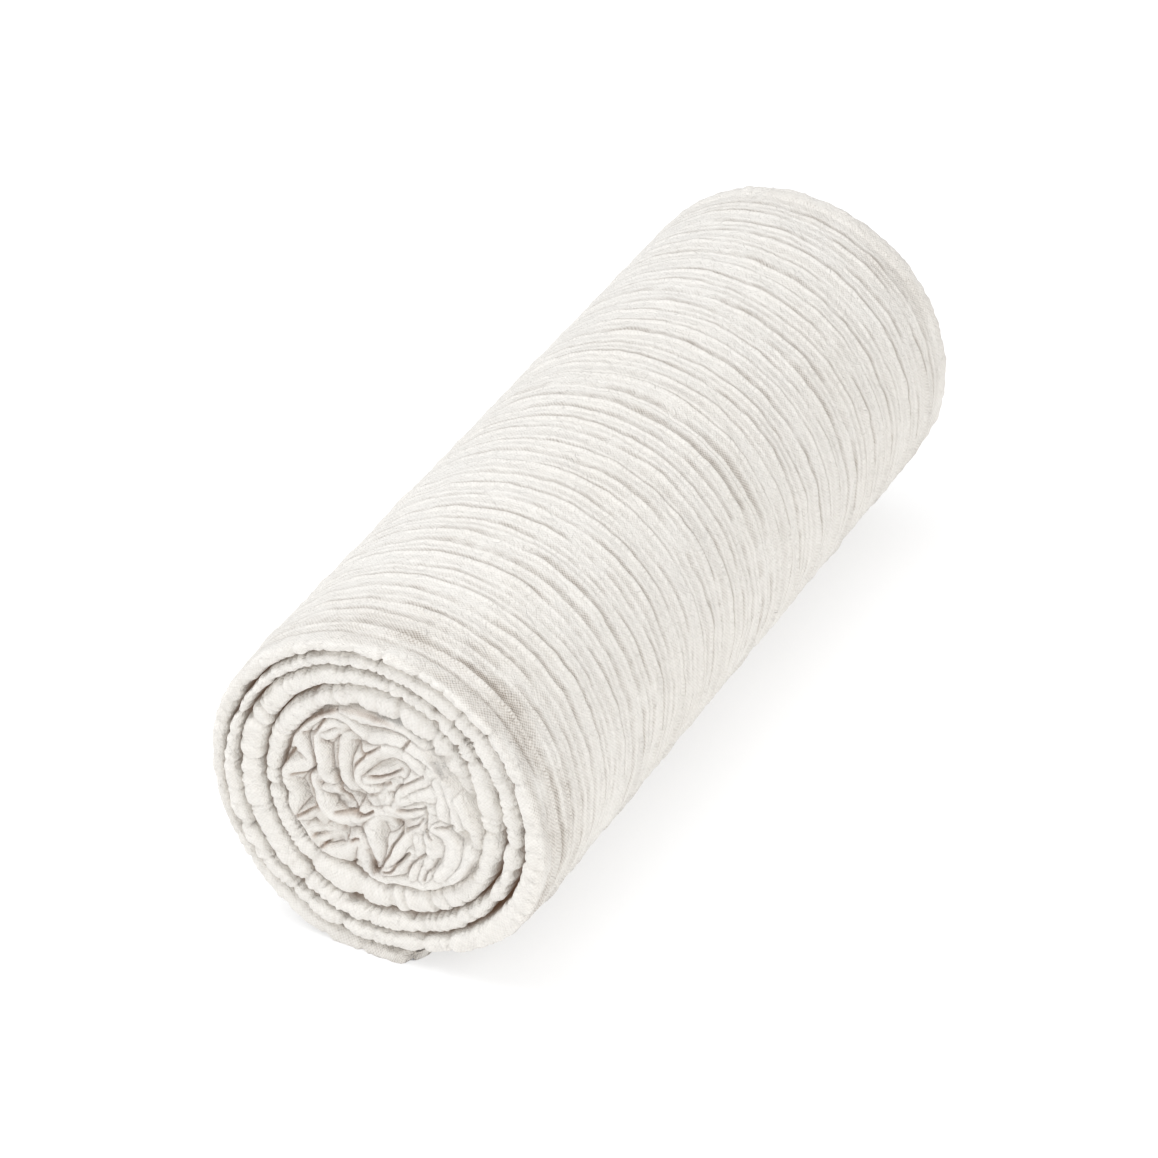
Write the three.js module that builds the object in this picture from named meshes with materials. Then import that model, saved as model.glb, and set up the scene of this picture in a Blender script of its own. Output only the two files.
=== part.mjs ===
// A fitted crib sheet of crinkled muslin, folded lengthwise into a long soft strip and rolled up.
// The roll lies on its side on the surface. Its axis runs along Y, with the end that shows its
// turns at -Y. The origin is on the surface, under the middle of the roll. Sizes are in millimetres.
import * as THREE from 'three';

const ROLL_RADIUS = 58.5;
const ROLL_LENGTH = 300;
const AXIS_HEIGHT = 57;
const PIECE_GAP = 0.3;

// The strip is wound clockwise inwards, seen from the near end, from its loose edge under the roll.
const LOOSE_EDGE_ANGLE = THREE.MathUtils.degToRad(285);
const LOOSE_EDGE_SLANT = THREE.MathUtils.degToRad(5);
const STEPS_PER_TURN = 32;
const LOOSE_END_STEPS = 4;
const WOUND_TURNS = 4;

// Each row is one turn of the winding, as shares of the roll's radius at eight places that are
// 45 degrees apart, from the loose edge round. The first row is the outside of the roll, and each
// next row is the crease inside that turn of the strip.
const PLACES_PER_TURN = 8;
const TURN_RADII = [
  { line: 'outside', radii: [1.03, 1.03, 1.0, 1.0, 1.015, 1.02, 1.0, 0.97] },
  { line: 'first crease', radii: [0.905, 0.915, 0.922, 0.895, 0.935, 0.94, 0.873, 0.808] },
  { line: 'second crease', radii: [0.795, 0.815, 0.812, 0.832, 0.84, 0.81, 0.738, 0.708] },
  { line: 'third crease', radii: [0.675, 0.69, 0.662, 0.692, 0.725, 0.7, 0.598, 0.578] },
  { line: 'fourth crease', radii: [0.5, 0.52, 0.5, 0.53, 0.57, 0.54, 0.47, 0.44] },
  { line: 'core', radii: [0.42, 0.42, 0.42, 0.42, 0.42, 0.42, 0.42, 0.42] },
];

// How far each turn's folded rim lies inside the end of the roll, and how deep its crease is.
const RIM_RECESS = { near: [0, 1.2, 0.6, 1.8, 3], far: [0, 1.5, 2.5, 2, 3.5] };
const OUTER_RIM_ROUNDING = 3.4;
const CREASE_DEPTH = 4.2;
const RIM_PUCKER = 0.5;
const RIM_SEGMENTS = 4;

// The crinkle runs round the roll as uneven ridges, flat where the cloth is pressed on the surface.
const RIDGES = 58;
const RIDGE_HEIGHT = 0.8;
const TROUGH_SHARE = 0.6;
const RIDGE_WANDER = [
  { size: 1.5, waves: 2, length: 35, turnOn: 0.4 },
  { size: 0.7, waves: 5, length: 12, turnOn: 1.3 },
];
const MIDDLE_SWELL = 0.028;
const LOOSE_END_RIDGES = 29;

// The crumpled middle: each row is one fold of the strip between two points of the end face, as
// shares of the roll's radius, with its half width and how far it stands out of the hollow.
const HOLLOW_DEPTH = 19;
const CORE_RINGS = 6;
const CORE_FOLDS = {
  near: [
    { fromX: -0.42, fromZ: -0.24, toX: -0.5, toZ: 0.05, halfWidth: 4.5, height: 8 },
    { fromX: -0.5, fromZ: 0.05, toX: -0.36, toZ: 0.17, halfWidth: 4.5, height: 8 },
    { fromX: -0.36, fromZ: 0.17, toX: -0.42, toZ: 0.36, halfWidth: 4.5, height: 8 },
    { fromX: -0.28, fromZ: 0.43, toX: -0.25, toZ: 0.1, halfWidth: 4, height: 11 },
    { fromX: -0.06, fromZ: 0.18, toX: 0.04, toZ: 0.38, halfWidth: 4, height: 12 },
    { fromX: 0.04, fromZ: 0.38, toX: 0.24, toZ: 0.38, halfWidth: 4, height: 9 },
    { fromX: -0.25, fromZ: -0.12, toX: 0.06, toZ: -0.02, halfWidth: 4.5, height: 12 },
    { fromX: 0.12, fromZ: -0.06, toX: 0.04, toZ: -0.3, halfWidth: 3.5, height: 10 },
    { fromX: 0.28, fromZ: -0.06, toX: 0.08, toZ: -0.34, halfWidth: 4, height: 8 },
    { fromX: 0.35, fromZ: 0.12, toX: 0.44, toZ: -0.02, halfWidth: 6, height: 9 },
  ],
  far: [
    { fromX: -0.4, fromZ: -0.1, toX: -0.34, toZ: 0.3, halfWidth: 5, height: 8 },
    { fromX: -0.1, fromZ: 0.4, toX: 0.24, toZ: 0.3, halfWidth: 5, height: 9 },
    { fromX: 0.36, fromZ: 0.12, toX: 0.3, toZ: -0.24, halfWidth: 5, height: 8 },
    { fromX: 0.1, fromZ: -0.36, toX: -0.24, toZ: -0.26, halfWidth: 4.5, height: 9 },
    { fromX: -0.12, fromZ: 0.02, toX: 0.14, toZ: 0.1, halfWidth: 5, height: 11 },
  ],
};

const MUSLIN = { color: 0xefebe4, roughness: 0.95, metalness: 0 };

// A repeatable uneven number from 0 to 1 for each whole number.
function uneven(number) {
  const wave = Math.sin(number * 12.9898 + 4.137) * 43758.5453;
  return wave - Math.floor(wave);
}

// A smooth curve through a row of values, one whole step apart.
function smoothValue(values, place) {
  const index = Math.min(Math.max(Math.floor(place), 0), values.length - 2);
  const at = (i) => values[Math.min(Math.max(i, 0), values.length - 1)];
  const t = place - index;
  const slopeIn = (at(index + 1) - at(index - 1)) / 2;
  const slopeOut = (at(index + 2) - at(index)) / 2;
  const rise = at(index + 1) - at(index);
  return at(index) + t * (slopeIn + t * (3 * rise - 2 * slopeIn - slopeOut
    + t * (slopeIn + slopeOut - 2 * rise)));
}

// Windings are counted inwards from the loose edge. The outside of the first turn is one turn
// before its own crease, so the outside and all the creases make one unbroken spiral.
const SPIRAL_RADII = TURN_RADII.flatMap((turn) => turn.radii);
function spiralRadius(windings) {
  return ROLL_RADIUS * smoothValue(SPIRAL_RADII, (windings + 1) * PLACES_PER_TURN);
}

function angleAt(windings) {
  return LOOSE_EDGE_ANGLE - windings * 2 * Math.PI;
}

// The roll is a little fuller at mid length, but not where it is pressed on the surface.
function swellAt(angle, y) {
  const alongShare = 1 - (2 * y / ROLL_LENGTH) ** 2;
  const awayFromFloor = THREE.MathUtils.clamp((Math.sin(angle) + 1) / 1.2, 0, 1);
  return 1 + MIDDLE_SWELL * alongShare * awayFromFloor;
}

// A point of the section, lifted to the surface where it would go below it.
function sectionPoint(radius, angle, y) {
  const height = AXIS_HEIGHT + radius * Math.sin(angle);
  return new THREE.Vector3(radius * Math.cos(angle), y, Math.max(height, 0));
}

// The rows of the crinkle along the roll: a trough and a crest for each ridge, unevenly spaced.
function ridgeRows(ridges, start, end) {
  const edges = [0];
  for (let ridge = 0; ridge < ridges; ridge += 1) {
    edges.push(edges[ridge] + 0.7 + 0.6 * uneven(ridge + 1));
  }
  const scale = (end - start) / edges[ridges];
  const rows = [];
  for (let ridge = 0; ridge < ridges; ridge += 1) {
    const middle = (edges[ridge] + edges[ridge + 1]) / 2;
    rows.push({ y: start + scale * edges[ridge], side: -TROUGH_SHARE, ridge });
    rows.push({ y: start + scale * middle, side: 1, ridge });
  }
  return rows.slice(1);
}

function ridgeOffset(row, angle) {
  const swing = 1 + 0.5 * Math.sin(3 * angle + row.ridge * 2.4) * uneven(row.ridge + 70);
  return RIDGE_HEIGHT * row.side * swing;
}

function ridgeWander(angle, y) {
  let shift = 0;
  for (const wave of RIDGE_WANDER) {
    shift += wave.size * Math.sin(wave.waves * angle + y / wave.length + wave.turnOn);
  }
  const fade = 1 - Math.abs(2 * y / ROLL_LENGTH) ** 6;
  return shift * fade;
}

// Collects shared points and faces for one closed solid.
class SolidBuilder {
  constructor() {
    this.points = [];
    this.faces = [];
  }

  point(vector) {
    this.points.push(vector.x, vector.y, vector.z);
    return this.points.length / 3 - 1;
  }

  triangle(a, b, c, flip) {
    if (flip) this.faces.push(a, c, b);
    else this.faces.push(a, b, c);
  }

  quad(a, b, c, d, flip) {
    this.triangle(a, b, c, flip);
    this.triangle(a, c, d, flip);
  }

  // A band of faces between two rows of points of the same length.
  band(rowA, rowB, flip) {
    for (let i = 0; i + 1 < rowA.length; i += 1) {
      this.quad(rowA[i], rowB[i], rowB[i + 1], rowA[i + 1], flip);
    }
  }

  geometry() {
    const geometry = new THREE.BufferGeometry();
    geometry.setAttribute('position', new THREE.Float32BufferAttribute(this.points, 3));
    geometry.setIndex(this.faces);
    geometry.computeVertexNormals();
    return geometry;
  }
}

// Across a folded rim, from its outer side to its inner side: how far over, and how far back
// from the crest of the fold, as shares.
function rimArc(segment) {
  const turn = Math.PI * segment / RIM_SEGMENTS;
  return { over: (1 - Math.cos(turn)) / 2, back: 1 - Math.sin(turn) };
}

function distanceToFold(fold, x, z) {
  const line = new THREE.Line3(
    new THREE.Vector3(fold.fromX, 0, fold.fromZ).multiplyScalar(ROLL_RADIUS),
    new THREE.Vector3(fold.toX, 0, fold.toZ).multiplyScalar(ROLL_RADIUS),
  );
  const spot = new THREE.Vector3(x, 0, z);
  return line.closestPointToPoint(spot, true, new THREE.Vector3()).distanceTo(spot);
}

// How deep the crumpled middle lies inside the end of the roll, at a point of the end face.
function coreDepth(folds, x, z, edgeDepth, inwards) {
  const hollow = edgeDepth + (HOLLOW_DEPTH - edgeDepth) * Math.sin(inwards * Math.PI / 2);
  let raised = 0;
  for (const fold of folds) {
    const share = distanceToFold(fold, x, z) / fold.halfWidth;
    raised = Math.max(raised, fold.height * Math.exp(-share * share));
  }
  return Math.max(hollow - raised * Math.min(inwards * 3, 1), edgeDepth - 2);
}

// One end of the roll: the folded rims of the strip as a spiral, and the crumpled core inside.
// side is -1 at the near end and 1 at the far end. borders holds the points along the spiral,
// from the rolled strip's cut, one turn before the first rim.
function addRollEnd(solid, side, borders, recesses, folds) {
  const endY = side * ROLL_LENGTH / 2;
  const flip = side < 0;
  const start = LOOSE_END_STEPS / STEPS_PER_TURN;
  const steps = (WOUND_TURNS - start) * STEPS_PER_TURN;
  const recessAt = (windings) => smoothValue(recesses, windings);
  const borderDepth = (windings) => recessAt(windings + 0.5) + CREASE_DEPTH;

  for (let step = 1; step <= steps; step += 1) {
    const windings = start + step / STEPS_PER_TURN;
    const reach = spiralRadius(windings);
    const y = endY - side * borderDepth(windings);
    borders.push(solid.point(sectionPoint(reach, angleAt(windings), y)));
  }

  const rims = [];
  for (let step = 0; step <= steps; step += 1) {
    const windings = start + step / STEPS_PER_TURN;
    const angle = angleAt(windings);
    const outer = spiralRadius(windings - 1);
    const inner = spiralRadius(windings);
    const outerBack = windings < 1 ? OUTER_RIM_ROUNDING : CREASE_DEPTH;
    const pucker = RIM_PUCKER * (2 * uneven(step + 300 + side) - 1);
    const rim = [borders[step]];
    for (let segment = 1; segment < RIM_SEGMENTS; segment += 1) {
      const arc = rimArc(segment);
      const back = segment * 2 < RIM_SEGMENTS ? outerBack : CREASE_DEPTH;
      const radius = outer + (inner - outer) * arc.over;
      const depth = recessAt(windings) + back * arc.back + pucker;
      // The strip's inner end is cut on the slant, so that the core's border stays open.
      const slant = step === steps ? 0.03 * segment : 0;
      rim.push(solid.point(sectionPoint(radius, angle + slant, endY - side * depth)));
    }
    rim.push(borders[step + STEPS_PER_TURN]);
    rims.push(rim);
    if (step > 0) solid.band(rims[step - 1], rim, flip);
  }

  // The core's border: round the innermost crease, then across the strip's inner end.
  const innermost = borders.slice(-STEPS_PER_TURN).reverse();
  const border = [...innermost, ...rims[steps].slice(0, -1)];
  let ring = border;
  for (let level = 1; level < CORE_RINGS; level += 1) {
    const inwards = level / CORE_RINGS;
    const next = border.map((index) => {
      const x = solid.points[3 * index] * (1 - inwards);
      const z = (solid.points[3 * index + 2] - AXIS_HEIGHT) * (1 - inwards);
      const edgeDepth = Math.abs(endY - solid.points[3 * index + 1]);
      const depth = coreDepth(folds, x, z, edgeDepth, inwards);
      return solid.point(new THREE.Vector3(x, endY - side * depth, z + AXIS_HEIGHT));
    });
    solid.band([...ring, ring[0]], [...next, next[0]], flip);
    ring = next;
  }
  const centreDepth = coreDepth(folds, 0, 0, HOLLOW_DEPTH, 1);
  const centre = solid.point(new THREE.Vector3(0, endY - side * centreDepth, AXIS_HEIGHT));
  for (let i = 0; i < ring.length; i += 1) {
    solid.triangle(ring[i], centre, ring[(i + 1) % ring.length], flip);
  }
  return rims[0];
}

// The rolled cloth, from where its loose end starts under the left side of the roll, inwards.
function rollGeometry() {
  const solid = new SolidBuilder();
  const start = LOOSE_END_STEPS / STEPS_PER_TURN;
  const hiddenFrom = STEPS_PER_TURN - LOOSE_END_STEPS;
  const edgeY = ROLL_LENGTH / 2 - OUTER_RIM_ROUNDING;
  const rows = ridgeRows(RIDGES, -edgeY, edgeY);
  const columns = [];
  const borders = { near: [], far: [] };
  for (let step = 0; step <= STEPS_PER_TURN; step += 1) {
    const windings = start + step / STEPS_PER_TURN - 1;
    const angle = angleAt(windings);
    const underLooseEnd = step >= hiddenFrom;
    const radius = spiralRadius(windings) - (underLooseEnd ? PIECE_GAP : 0);
    const column = [solid.point(sectionPoint(radius, angle, -edgeY))];
    for (const row of rows) {
      const y = row.y + ridgeWander(angle, row.y);
      const crinkle = underLooseEnd ? 0 : ridgeOffset(row, angle);
      const swell = swellAt(angle, y);
      column.push(solid.point(sectionPoint(radius * swell + crinkle, angle, y)));
    }
    column.push(solid.point(sectionPoint(radius, angle, edgeY)));
    borders.near.push(column[0]);
    borders.far.push(column[column.length - 1]);
    columns.push(column);
    if (step > 0) solid.band(columns[step - 1], column, false);
  }

  const nearRim = addRollEnd(solid, -1, borders.near, RIM_RECESS.near, CORE_FOLDS.near);
  const farRim = addRollEnd(solid, 1, borders.far, RIM_RECESS.far, CORE_FOLDS.far);

  // The strip is parted from its loose end by a flat cut across its thickness.
  const outerEdge = columns[0];
  const innerEdge = columns[STEPS_PER_TURN];
  solid.band(innerEdge, outerEdge, false);
  for (let i = 1; i + 2 < nearRim.length; i += 1) {
    solid.triangle(nearRim[0], nearRim[i + 1], nearRim[i], false);
    solid.triangle(farRim[0], farRim[i + 1], farRim[i], true);
  }
  const last = nearRim.length - 1;
  solid.triangle(nearRim[0], nearRim[last], nearRim[last - 1], false);
  solid.triangle(farRim[0], farRim[last], farRim[last - 1], true);
  return solid.geometry();
}

// The loose end: the last stretch of the strip, pressed flat between the roll and the surface.
function looseEndGeometry() {
  const solid = new SolidBuilder();
  const edgeY = ROLL_LENGTH / 2 - OUTER_RIM_ROUNDING;
  const rows = ridgeRows(LOOSE_END_RIDGES, -edgeY, edgeY);
  const loops = [];
  const gapAngle = PIECE_GAP / ROLL_RADIUS;
  for (let step = 0; step <= LOOSE_END_STEPS; step += 1) {
    const windings = step / STEPS_PER_TURN;
    const angle = angleAt(windings) + (step === LOOSE_END_STEPS ? gapAngle : 0);
    const slant = step === 0 ? LOOSE_EDGE_SLANT : 0;
    const outer = spiralRadius(windings - 1);
    const inner = spiralRadius(windings);
    const outside = [solid.point(sectionPoint(outer, angle - slant, -edgeY))];
    const inside = [solid.point(sectionPoint(inner, angle, -edgeY))];
    for (const row of rows) {
      const reach = outer * swellAt(angle, row.y) + ridgeOffset(row, angle);
      outside.push(solid.point(sectionPoint(reach, angle - slant, row.y)));
      inside.push(solid.point(sectionPoint(inner * swellAt(angle, row.y), angle, row.y)));
    }
    outside.push(solid.point(sectionPoint(outer, angle - slant, edgeY)));
    inside.push(solid.point(sectionPoint(inner, angle, edgeY)));
    const rims = [-1, 1].map((side) => {
      const rim = [];
      for (let segment = 1; segment < RIM_SEGMENTS; segment += 1) {
        const arc = rimArc(segment);
        const radius = outer + (inner - outer) * arc.over;
        const y = side * (edgeY + OUTER_RIM_ROUNDING * (1 - arc.back));
        rim.push(solid.point(sectionPoint(radius, angle - slant * (1 - arc.over), y)));
      }
      return rim;
    });
    loops.push({ outside, inside, near: rims[0], far: rims[1] });
  }

  const whole = (loop) => [
    ...loop.outside, ...loop.far, ...[...loop.inside].reverse(), ...[...loop.near].reverse(),
    loop.outside[0],
  ];
  for (let step = 1; step < loops.length; step += 1) {
    solid.band(whole(loops[step - 1]), whole(loops[step]), false);
  }
  for (const step of [0, loops.length - 1]) {
    const loop = loops[step];
    const flip = step > 0;
    solid.band(loop.inside, loop.outside, flip);
    const ends = [
      { first: loop.outside[0], rim: [...loop.near, loop.inside[0]], turned: flip },
      { first: loop.outside.at(-1), rim: [...loop.far, loop.inside.at(-1)], turned: !flip },
    ];
    for (const end of ends) {
      for (let i = 0; i + 1 < end.rim.length; i += 1) {
        solid.triangle(end.first, end.rim[i + 1], end.rim[i], end.turned);
      }
    }
  }
  return solid.geometry();
}

function muslinMesh(name, geometry) {
  const mesh = new THREE.Mesh(geometry, new THREE.MeshStandardMaterial(MUSLIN));
  mesh.name = name;
  return mesh;
}

const rolledSheet = new THREE.Group();
rolledSheet.add(muslinMesh('roll', rollGeometry()));
rolledSheet.add(muslinMesh('loose_end', looseEndGeometry()));

export default rolledSheet;
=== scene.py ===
import math
from functools import lru_cache

import bmesh
import bpy
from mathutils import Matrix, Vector, kdtree, noise


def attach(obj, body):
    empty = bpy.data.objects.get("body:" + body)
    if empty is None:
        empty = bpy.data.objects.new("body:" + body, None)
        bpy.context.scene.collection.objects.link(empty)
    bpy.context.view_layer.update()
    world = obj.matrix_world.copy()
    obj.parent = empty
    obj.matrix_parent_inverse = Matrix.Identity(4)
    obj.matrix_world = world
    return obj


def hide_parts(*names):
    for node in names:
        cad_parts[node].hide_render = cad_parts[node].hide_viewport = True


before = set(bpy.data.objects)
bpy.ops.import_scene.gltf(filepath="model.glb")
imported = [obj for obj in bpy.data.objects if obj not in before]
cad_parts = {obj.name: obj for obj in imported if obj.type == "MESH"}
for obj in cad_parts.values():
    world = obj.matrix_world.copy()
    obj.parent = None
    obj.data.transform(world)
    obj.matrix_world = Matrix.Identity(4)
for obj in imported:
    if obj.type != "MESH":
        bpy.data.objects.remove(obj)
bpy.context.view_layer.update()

# The outer turn, with the loose end under the roll. The sheet is one panel of crinkled double
# muslin, folded lengthwise into a long soft strip and rolled up, so what shows is one wide turn
# of the strip. The crinkle runs round the roll, and the strip's folded sides are its round rims.

MM = 0.001
ROLL_RADIUS = 58.5 * MM
ROLL_LENGTH = 300 * MM
AXIS_HEIGHT = 57 * MM
LOOSE_EDGE_ANGLE = math.radians(285)

# One row a turn, as shares of the roll's radius at eight places 45 degrees apart, from the loose
# edge round: first the roll's outside, then the crease inside each turn.
TURN_RADII = (
    ("outside", 1.03, 1.03, 1.0, 1.0, 1.015, 1.02, 1.0, 0.97),
    ("first crease", 0.905, 0.915, 0.922, 0.895, 0.935, 0.94, 0.873, 0.808),
    ("second crease", 0.795, 0.815, 0.812, 0.832, 0.84, 0.81, 0.738, 0.708),
    ("third crease", 0.675, 0.69, 0.662, 0.692, 0.725, 0.7, 0.598, 0.578),
    ("fourth crease", 0.5, 0.52, 0.56, 0.57, 0.57, 0.54, 0.47, 0.44),
)
# How far each turn's rim lies inside the near end of the roll, in mm, at the same places.
TURN_RECESS = (
    ("outer turn", 0.3, 1.5, 2.5, 1.5, 0.5, 0.5, 0.0, 0.0),
    ("second turn", 0.5, 0.3, 0.3, 1.0, 1.5, 1.5, 1.5, 1.5),
    ("third turn", 1.0, 0.8, 0.5, 1.0, 2.0, 2.5, 2.5, 2.0),
    ("fourth turn", 1.5, 1.5, 1.5, 2.0, 3.0, 3.2, 5.5, 9.0),
)
# How hard each turn's rim is gathered at the same places.
TURN_GATHERS = (
    ("outer turn", 0.8, 0.6, 0.6, 0.7, 0.8, 1.0, 0.9, 0.8),
    ("second turn", 0.9, 0.9, 0.9, 0.9, 1.0, 1.1, 0.9, 0.9),
    ("third turn", 1.0, 1.0, 0.9, 0.9, 1.2, 1.3, 0.9, 1.0),
    ("fourth turn", 1.2, 1.1, 0.9, 0.9, 1.4, 1.4, 0.9, 1.0),
)
# Places where a turn stands off the next one, in turns from the loose edge, with the gap and its
# reach there. Elsewhere the turns lie snug.
TURN_GAPS = (
    {"windings": 0.88, "gap": 0.8 * MM, "reach": 0.09},
    {"windings": 1.8, "gap": 0.4 * MM, "reach": 0.1},
)
SNUG_GAP = 0.2 * MM


def smooth_value(values, place):
    """A smooth curve through values that are one whole step apart."""
    index = min(max(math.floor(place), 0), len(values) - 2)
    before, start, end, after = (values[min(max(index + k, 0), len(values) - 1)] for k in (-1, 0, 1, 2))
    t = place - index
    slope_in, slope_out = (end - before) / 2, (after - start) / 2
    rise = end - start
    bend = 3 * rise - 2 * slope_in - slope_out
    return start + t * (slope_in + t * (bend + t * (slope_in + slope_out - 2 * rise)))


# The loose end's rims and inner side are painted with shade, and their weave shows more open, over the
# first part of a turn. The loose end is pulled, so its corners are drawn back: how far, and over how
# many times that along the strip and across it.
TAIL_SHADE_AND_OPENNESS = 0.42
TAIL_TURNS = 0.13
TAIL_CORNER = 5.5 * MM
CORNER_ALONG = 4
CORNER_ACROSS = 1.6

PLACES_A_TURN = 8
SPIRAL = [radius for turn in TURN_RADII for radius in turn[1:]]
RECESS = [depth * MM for turn in TURN_RECESS for depth in turn[1:]]
GATHERS = [share for turn in TURN_GATHERS for share in turn[1:]]


def turn_gap(windings):
    spread = (g["gap"] * math.exp(-(((windings - g["windings"]) / g["reach"]) ** 2)) for g in TURN_GAPS)
    return SNUG_GAP + sum(spread)


def spiral_place(windings):
    """Where the strip runs at a number of turns in from its loose edge, and how thick it is."""
    outer = ROLL_RADIUS * smooth_value(SPIRAL, windings * PLACES_A_TURN)
    inner = ROLL_RADIUS * smooth_value(SPIRAL, (windings + 1) * PLACES_A_TURN) + turn_gap(windings)
    angle = LOOSE_EDGE_ANGLE - windings * math.tau
    middle = (outer + inner) / 2
    return {
        "windings": windings,
        "x": middle * math.cos(angle),
        "z": middle * math.sin(angle),
        "half": (outer - inner) / 2,
        "recess": smooth_value(RECESS, windings * PLACES_A_TURN),
        "openness": TAIL_SHADE_AND_OPENNESS * max(1 - windings / TAIL_TURNS, 0.0),
        "gather": smooth_value(GATHERS, windings * PLACES_A_TURN),
    }


# How a strip ends: over what reach it thins, and the share of its thickness that is left. A loose
# edge is round. A joint is where the strip goes on as the next piece, in a shallow pinch.
END_SHAPES = {
    "loose": {"reach": 3 * MM, "left": 0.03},
    "joint": {"reach": 1.6 * MM, "left": 0.88},
}


def walk_path(places, step, ends):
    """Even steps along a smooth path through places, each with its normal out of the roll."""
    fine = []
    for index in range(len(places) - 1):
        for part in range(12):
            at = index + part / 12
            fine.append({key: smooth_value([p[key] for p in places], at) for key in places[0]})
    fine.append(dict(places[-1]))
    lengths = [0.0]
    for a, b in zip(fine, fine[1:]):
        lengths.append(lengths[-1] + math.hypot(b["x"] - a["x"], b["z"] - a["z"]))
    count = max(4, round(lengths[-1] / step))
    path = []
    cursor = 0
    for number in range(count + 1):
        along = lengths[-1] * number / count
        while cursor < len(lengths) - 2 and lengths[cursor + 1] < along:
            cursor += 1
        share = (along - lengths[cursor]) / max(lengths[cursor + 1] - lengths[cursor], 1e-9)
        a, b = fine[cursor], fine[cursor + 1]
        path.append({key: a[key] + (b[key] - a[key]) * share for key in a} | {"along": along})
    for index, place in enumerate(path):
        a, b = path[max(index - 1, 0)], path[min(index + 1, count)]
        run = Vector((b["x"] - a["x"], b["z"] - a["z"])).normalized()
        # The strip winds clockwise, so its outer side is on the left of its run.
        place["normal_x"], place["normal_z"] = -run.y, run.x
        place["fullness"] = 1.0
        for shape, away in zip(ends, (place["along"], lengths[-1] - place["along"])):
            reach, left = END_SHAPES[shape]["reach"], END_SHAPES[shape]["left"]
            if away < reach:
                full = left + (1 - left) * math.sqrt(max(1 - (1 - away / reach) ** 2, 0.0))
                place["fullness"] = min(place["fullness"], full)
    return path


def path_place(path, at):
    """The place at a step of a path, or between two steps."""
    index = min(int(at), len(path) - 2)
    a, b = path[index], path[index + 1]
    return {key: a[key] + (b[key] - a[key]) * (at - index) for key in a}


# The crinkle: thin raised creases about 3.5 mm apart run round the roll, every fourth a high one
# and one between them a middling one. Each rises sharply on its near side and falls away on its far
# side. They sweep towards the near end on the roll's sides.
CREASE_PITCH = 3.5 * MM
CREASE_HEIGHTS = (0.17 * MM, 0.84 * MM, 0.24 * MM, 0.64 * MM)
CREASE_JITTER = 1.0 * MM
CREASE_WANDER = 0.6 * MM
CREASE_WIGGLE = 0.34 * MM
CREASE_PUCKER = 0.3 * MM
# Across one pitch, from a crease to the next: how far along, the share of this crease's height and
# of the next one's that is left there, and how much painted shade, with a more open weave, its flank gets.
CREASE_PROFILE = (
    (0.0, 1.0, 0.0, 0.1), (0.09, 0.86, 0.0, 0.9), (0.24, 0.56, 0.0, 1.0),
    (0.44, 0.25, 0.0, 0.9), (0.68, 0.06, -0.08, 0.5), (0.88, 0.0, -0.22, 0.1),
)
# A crease of this height gets as much painted shade and open weave on its flank as the profile says.
FLANK_SHADE_HEIGHT = 0.8 * MM
# The cloth lies smoother round the roll's left side: where, how far round, and how much smoother.
CALM_SIDE = math.radians(150)
CALM_REACH = math.radians(55)
CALM_SHARE = 0.6
# The creases sweep towards the near end, not at all at SWEEP_FROM and most on the other side of it.
SWEEP = 8 * MM
SWEEP_FROM = math.radians(60)
SWEEP_CENTRE = -60 * MM
SWEEP_REACH = 150 * MM
# Low swellings of the cloth: how high each kind is, and its size round the roll and along it.
SWELLS = (
    {"height": 0.3 * MM, "round": 16 * MM, "along": 8 * MM},
    {"height": 0.2 * MM, "round": 5 * MM, "along": 3.6 * MM},
)
# The cloth is drawn in behind the lip of each rim, most on the roll's right side and by a least
# share elsewhere.
NECK_DEPTH = 1.1 * MM
NECK_SIDE = math.radians(25)
NECK_PLACE = 8.5 * MM
NECK_REACH = 5.5 * MM
# Behind the lip, a band painted with shade, where the weave also shows more open: where it lies and how
# far it reaches.
NECK_SHADE = 9 * MM
NECK_SHADE_REACH = 14 * MM
# At the far end the outer turn is smoother: the share of the gathers and of the neck that it has.
FAR_SHARE = 0.4


def crease_line(number):
    """Where along the roll a crease lies, before it wanders."""
    return number * CREASE_PITCH + (noise.cell(Vector((number + 0.5, 2.5, 8.5))) - 0.5) * CREASE_JITTER


@lru_cache(maxsize=None)
def crease(number, angle):
    """A crease's own wander along the roll at an angle, and its height there."""
    circle = Vector((math.cos(angle), math.sin(angle), 0))
    wander = noise.noise(circle * 2.4 + Vector((0, number * 2.7, 7))) * CREASE_WANDER
    wander += noise.noise(circle * 8 + Vector((number * 3.1, 0, 4))) * CREASE_WIGGLE
    wander += noise.noise(circle * 18 + Vector((number * 4.3, 0, 9))) * CREASE_PUCKER
    swing = noise.noise(circle * 2.3 + Vector((number * 5.3, 0, 2)))
    swing += 0.5 * noise.noise(circle * 9 + Vector((number * 3.7, 5, 2)))
    swing += 0.5 * noise.noise(circle * 18 + Vector((number * 2.9, 8, 6)))
    from_calm = math.remainder(angle - CALM_SIDE, math.tau) / CALM_REACH
    calm = 1 - CALM_SHARE * math.exp(-(from_calm**2))
    height = CREASE_HEIGHTS[number % 4] * min(max(0.75 + 1.1 * swing, 0.12), 1.3) * calm
    return wander, height


def end_fade(y, power):
    return max(0.0, 1 - (abs(y) / (ROLL_LENGTH / 2)) ** power)


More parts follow.
